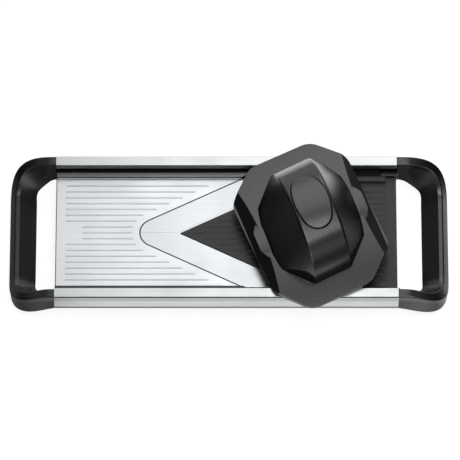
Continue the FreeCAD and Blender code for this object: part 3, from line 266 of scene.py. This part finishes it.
# pan-head screws of the underside, with rounded heads and a cross recess
panScrew = dict(headRadius=0.0028, headHeight=0.0018, shankRadius=0.0015, headRound=0.0008, roundSteps=4,
                sides=40, crossLength=0.0036, crossWidth=0.0009, crossDepth=0.0011,
                crossTaper=(0.4, 0.75, 1.0), turn=0.7,
                smoothAngle=math.radians(35), apart=2.1)
screwBodies = dict(handle_screws="frame", bridge_screws="frame", guard_screws="guard", stem_screw="pusher")


def screwPlaces(node):  # middle, lowest and highest point of each screw of the solid
    groups = []
    for vertex in nodes[node].data.vertices:
        near = [g for g in groups
                if (g[0].xy - vertex.co.xy).length < panScrew["apart"] * panScrew["headRadius"]]
        if near:
            near[0].append(vertex.co)
        else:
            groups.append([vertex.co])
    places = []
    for group in groups:
        xs, ys, zs = zip(*group)
        places.append(((min(xs) + max(xs)) / 2, (min(ys) + max(ys)) / 2, min(zs), max(zs)))
    return places


def makeScrew(length):
    bpy.ops.object.select_all(action="DESELECT")
    bpy.ops.mesh.primitive_cylinder_add(vertices=panScrew["sides"], radius=panScrew["headRadius"],
                                        depth=panScrew["headHeight"],
                                        location=(0, 0, panScrew["headHeight"] / 2))
    screw = bpy.context.object
    bpy.ops.object.transform_apply(location=True)
    pickFaces(screw, lambda face: face.normal.z > level)
    bpy.ops.mesh.inset(thickness=panScrew["headRadius"] - panScrew["shankRadius"])
    bpy.ops.mesh.extrude_region_move(TRANSFORM_OT_translate={
        "value": (0, 0, length - panScrew["headHeight"])})
    pickFaces(screw, lambda face: face.normal.z < -level and face.center.z < 0.0001)
    bpy.ops.mesh.bevel(offset=panScrew["headRound"], segments=panScrew["roundSteps"], affect="EDGES")
    bpy.ops.object.mode_set(mode="OBJECT")
    for arm in range(2):
        bpy.ops.object.select_all(action="DESELECT")
        bpy.ops.mesh.primitive_cube_add(size=1, location=(0, 0, 0))
        cutter = bpy.context.object
        bpy.ops.transform.resize(value=(panScrew["crossLength"], panScrew["crossWidth"],
                                        2 * panScrew["crossDepth"]))
        bpy.ops.object.transform_apply(scale=True)
        pickFaces(cutter, lambda face: face.normal.z > level)
        bpy.ops.transform.resize(value=panScrew["crossTaper"])
        bpy.ops.object.mode_set(mode="OBJECT")
        cutter.rotation_euler.z = arm * math.pi / 2
        selectOnly(screw)
        recess = screw.modifiers.new("recess", "BOOLEAN")
        recess.object = cutter
        recess.operation = "DIFFERENCE"
        bpy.ops.object.modifier_apply(modifier="recess")
        bpy.data.objects.remove(cutter, do_unlink=True)
    selectOnly(screw)
    bpy.ops.object.shade_smooth_by_angle(angle=panScrew["smoothAngle"])
    return screw


for node, body in screwBodies.items():
    places = screwPlaces(node)
    made = []
    for number, (x, y, low, high) in enumerate(places):
        if number == 0:
            first = makeScrew(high - low)
        selectOnly(first)
        bpy.ops.object.duplicate()
        copy = bpy.context.object
        bpy.ops.transform.rotate(value=number * panScrew["turn"], orient_axis="Z",
                                 center_override=(0, 0, 0))
        bpy.ops.transform.translate(value=(x, y, low))
        made.append(copy)
    bpy.data.objects.remove(first, do_unlink=True)
    selectOnly(made[0])
    for copy in made:
        copy.select_set(True)
    if len(made) > 1:
        bpy.ops.object.join()
    bpy.ops.object.transform_apply(location=True, rotation=True, scale=True)
    made[0].name = node + "_recessed"
    made[0].data.materials.append(finishes["fastener_steel"])
    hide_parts(node)
    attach(made[0], body)
    print(node, len(places), "screws")

# the pusher's spring wire, merged and smoothed; travel is how far it closes up as the button goes down: 12 of
# its 20 mm
wireSpring = dict(travel=0.012, mergeWithin=0.000001, smoothAngle=math.radians(50))
lowCorner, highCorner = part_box("pusher_spring")
wire = bpy.data.objects.new("pusher_spring_wire", nodes["pusher_spring"].data.copy())
bpy.context.scene.collection.objects.link(wire)
selectOnly(wire)
bpy.ops.object.mode_set(mode="EDIT")
bpy.ops.mesh.select_all(action="SELECT")
bpy.ops.mesh.remove_doubles(threshold=wireSpring["mergeWithin"])
bpy.ops.object.mode_set(mode="OBJECT")
bpy.ops.object.shade_smooth_by_angle(angle=wireSpring["smoothAngle"])
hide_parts("pusher_spring")
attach(wire, "guard")
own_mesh(wire)
print("spring closes by", wireSpring["travel"] * 1000, "mm")

# millimetres of slice, pad printed on the underside of the dial, and a pointer on the bridge
dialMarks = dict(ring=0.0138, height=0.0066, proud=0.00015, numbers=6, step=math.radians(60),
                 pointerRadius=0.0024, pointerCorner=0.12, pointerAway=0.0265)
lowCorner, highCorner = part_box("adjuster_knob")
dialPlace = Vector(((lowCorner.x + highCorner.x) / 2, (lowCorner.y + highCorner.y) / 2, lowCorner.z))
marks = []
for number in range(dialMarks["numbers"]):
    bpy.ops.object.select_all(action="DESELECT")
    bpy.ops.object.text_add(location=(0, 0, 0))
    digit = bpy.context.object
    digit.data.body = str(number)
    digit.data.size = dialMarks["height"]
    digit.data.align_x = "CENTER"
    digit.data.align_y = "CENTER"
    digit.data.extrude = dialMarks["proud"]
    bpy.ops.object.convert(target="MESH")
    digit = bpy.context.object
    digit.matrix_world = (Matrix.Translation(dialPlace)
                          @ Matrix.Rotation(-number * dialMarks["step"], 4, "Z")
                          @ Matrix.Translation((0, -dialMarks["ring"], 0))
                          @ Matrix.Rotation(math.pi, 4, "X"))
    bpy.ops.object.transform_apply(location=True, rotation=True, scale=True)
    marks.append(digit)
selectOnly(marks[0])
for digit in marks:
    digit.select_set(True)
bpy.ops.object.join()
dialNumbers = marks[0]
dialNumbers.name = "dial_numbers"
dialNumbers.data.materials.clear()
dialNumbers.data.materials.append(finishes["pale_ink"])
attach(dialNumbers, "knob")

bpy.ops.object.select_all(action="DESELECT")
bpy.ops.mesh.primitive_cylinder_add(vertices=3, radius=dialMarks["pointerRadius"],
                                    depth=2 * dialMarks["proud"], location=(0, 0, 0))
pointer = bpy.context.object
pointer.name = "dial_pointer"
pickFaces(pointer, lambda face: face.normal.z < -level)
bpy.ops.mesh.bevel(offset=dialMarks["pointerRadius"] * dialMarks["pointerCorner"], segments=2,
                   affect="VERTICES")
bpy.ops.object.mode_set(mode="OBJECT")
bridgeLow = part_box("adjuster_bridge")[0]
bpy.ops.transform.translate(value=(dialPlace.x, dialPlace.y - dialMarks["pointerAway"], bridgeLow.z))
bpy.ops.object.transform_apply(location=True, rotation=True, scale=True)
pointer.data.materials.append(finishes["pale_ink"])
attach(pointer, "frame")
print("dial marked", dialMarks["numbers"], "numbers")

# pale sweep: white to the eye; in reflections it darkens past the object's ends and in the shade under it
sweep = dict(size=40.0, white=0.88, mirrored=1.2, behind=2.0, skin="#8c8c8c", middle=0.02, brightHalf=0.15,
             darkHalf=0.22, darkShare=0.03, behindY=(-0.1, 0.1),
             shadeX=(0.17, 0.2), shadeY=(0.065, 0.085), shade=0.08)
bpy.ops.object.select_all(action="DESELECT")
bpy.ops.mesh.primitive_plane_add(size=sweep["size"], location=(0, 0, 0))
floor = bpy.context.object
floor.name = "paleSweep"
floorMaterial, tree = startMaterial("palePaper")
path = addNode(tree, "LightPath")
place = addNode(tree, "SeparateXYZ", {"Vector": addNode(tree, "TexCoord").outputs["Object"]})
offMiddle = addNode(tree, "Math", {0: place.outputs["X"], 1: sweep["middle"]}, operation="SUBTRACT")
aside = addNode(tree, "Math", {0: offMiddle.outputs[0]}, operation="ABSOLUTE")
fade = addNode(tree, "MapRange", {"Value": aside.outputs[0], "From Min": sweep["brightHalf"],
                                  "From Max": sweep["darkHalf"], "To Min": sweep["mirrored"],
                                  "To Max": sweep["darkShare"]})
mirrored = addNode(tree, "Math", {0: path.outputs["Is Glossy Ray"],
                                  1: path.outputs["Is Transmission Ray"]}, operation="MAXIMUM")
behind = addNode(tree, "MapRange", {"Value": place.outputs["Y"],
                                    "From Min": sweep["behindY"][0], "From Max": sweep["behindY"][1],
                                    "To Min": 1.0, "To Max": sweep["behind"] / sweep["mirrored"]})
cards = addNode(tree, "Math", {0: fade.outputs["Result"], 1: behind.outputs["Result"]},
                operation="MULTIPLY")
clear = []
for axis, ends in (("X", sweep["shadeX"]), ("Y", sweep["shadeY"])):
    out = addNode(tree, "Math", {0: place.outputs[axis]}, operation="ABSOLUTE")
    clear.append(addNode(tree, "MapRange", {
        "Value": out.outputs[0], "From Min": ends[0], "From Max": ends[1],
        "To Min": sweep["shade"], "To Max": 1.0}).outputs["Result"])
unshaded = addNode(tree, "Math", {0: clear[0], 1: clear[1]}, operation="MAXIMUM")
litCards = addNode(tree, "Math", {0: cards.outputs[0], 1: unshaded.outputs[0]}, operation="MULTIPLY")
mirroredFade = addNode(tree, "Math", {0: mirrored.outputs[0], 1: litCards.outputs[0]},
                       operation="MULTIPLY")
seen = addNode(tree, "Math", {0: path.outputs["Is Camera Ray"], 1: mirroredFade.outputs[0]},
               operation="MAXIMUM")
glow = addNode(tree, "Math", {0: seen.outputs[0], 1: sweep["white"]}, operation="MULTIPLY")
paper = addNode(tree, "BsdfDiffuse", {"Color": linear(sweep["skin"])})
white = addNode(tree, "Emission", {"Color": linear("#ffffff"), "Strength": glow.outputs[0]})
both = addNode(tree, "AddShader", {0: paper.outputs["BSDF"], 1: white.outputs["Emission"]})
addNode(tree, "OutputMaterial", {"Surface": both.outputs["Shader"]})
floor.data.materials.append(floorMaterial)

# dim room that brightens towards the ceiling, with a pale wall behind, a greyer one in front and dark ends;
# heights and turns are parts of the way's length: 0 is level, 1 is straight up or straight along the axis
room = dict(horizon=0.02, middle=0.05, top=0.16, horizonAt=0.1, middleAt=0.5, topAt=0.85,
            behind=1.1, front=0.62, frontTurn=0.3, wallFoot=0.02, wallLow=0.12, wallFlat=0.36,
            wallHigh=0.84, darkEnds=(0.48, 0.7))
world = bpy.data.worlds.new("studioRoom")
bpy.context.scene.world = world
world.use_nodes = True
tree = world.node_tree
tree.nodes.clear()
way = addNode(tree, "SeparateXYZ", {"Vector": addNode(tree, "TexCoord").outputs["Generated"]})
ramp = addNode(tree, "ValToRGB", {"Fac": way.outputs["Z"]})
ramp.color_ramp.elements[0].position = room["horizonAt"]
ramp.color_ramp.elements[0].color = (room["horizon"],) * 3 + (1,)
ramp.color_ramp.elements[1].position = room["topAt"]
ramp.color_ramp.elements[1].color = (room["top"],) * 3 + (1,)
step = ramp.color_ramp.elements.new(room["middleAt"])
step.color = (room["middle"],) * 3 + (1,)
wall = addNode(tree, "ValToRGB", {"Fac": way.outputs["Z"]})
wallStops = wall.color_ramp.elements
wallStops[0].position = room["wallFoot"]
wallStops[1].position = room["wallHigh"]
wallStops[1].color = (0, 0, 0, 1)
for at in (room["wallLow"], room["wallFlat"]):
    wallStops.new(at).color = (room["behind"],) * 3 + (1,)
aside = addNode(tree, "Math", {0: way.outputs["X"]}, operation="ABSOLUTE")
wallShare = addNode(tree, "MapRange", {"Value": aside.outputs[0], "From Min": room["darkEnds"][0],
                                       "From Max": room["darkEnds"][1], "To Min": 1.0, "To Max": 0.0})
frontShare = addNode(tree, "MapRange", {"Value": way.outputs["Y"],
                                        "From Min": -room["frontTurn"], "From Max": room["frontTurn"],
                                        "To Min": room["front"] / room["behind"], "To Max": 1.0})
share = addNode(tree, "Math", {0: wallShare.outputs["Result"], 1: frontShare.outputs["Result"]},
                operation="MULTIPLY")
walls = addNode(tree, "MixRGB", {"Fac": share.outputs[0], "Color1": ramp.outputs["Color"],
                                 "Color2": wall.outputs["Color"]}, blend_type="ADD")
addNode(tree, "OutputWorld", {"Surface": addNode(tree, "Background", {
    "Color": walls.outputs["Color"], "Strength": 1.0}).outputs["Background"]})

softboxes = [
    dict(name="topBox", place=(0.1, 0.65, 0.98), size=(0.49, 0.9), watts=2.86),
    dict(name="keyBox", place=(0.42, -0.45, 2.15), size=(0.7, 1.2), watts=15.0),
    dict(name="frontBox", place=(0.9, -2.1, 1.3), size=(1.6, 1.2), watts=7.0),
]
lampAim = Vector((0, 0, 0.04))
for lamp in softboxes:
    data = bpy.data.lights.new(lamp["name"], "AREA")
    data.shape = "RECTANGLE"
    data.size, data.size_y = lamp["size"]
    data.energy = lamp["watts"]
    box = bpy.data.objects.new(lamp["name"], data)
    bpy.context.scene.collection.objects.link(box)
    box.location = lamp["place"]
    box.rotation_euler = (lampAim - box.location).to_track_quat("-Z", "Y").to_euler()
print("lit by", len(softboxes), "softboxes")

# long lens from the front, high over the object
shot = dict(elevation=62.0, distance=5.2, lens=467.0, sensor=36.0, clipEnd=100.0,
            target=(0.0009, -0.0037, 0.034))
lens = bpy.data.cameras.new("longLens")
lens.lens = shot["lens"]
lens.sensor_width = shot["sensor"]
lens.clip_end = shot["clipEnd"]
camera = bpy.data.objects.new("longLens", lens)
bpy.context.scene.collection.objects.link(camera)
rise = math.radians(shot["elevation"])
target = Vector(shot["target"])
camera.location = target + shot["distance"] * Vector((0, -math.cos(rise), math.sin(rise)))
camera.rotation_euler = (target - camera.location).to_track_quat("-Z", "Y").to_euler()
bpy.context.scene.camera = camera
bpy.context.scene.view_settings.view_transform = "Standard"
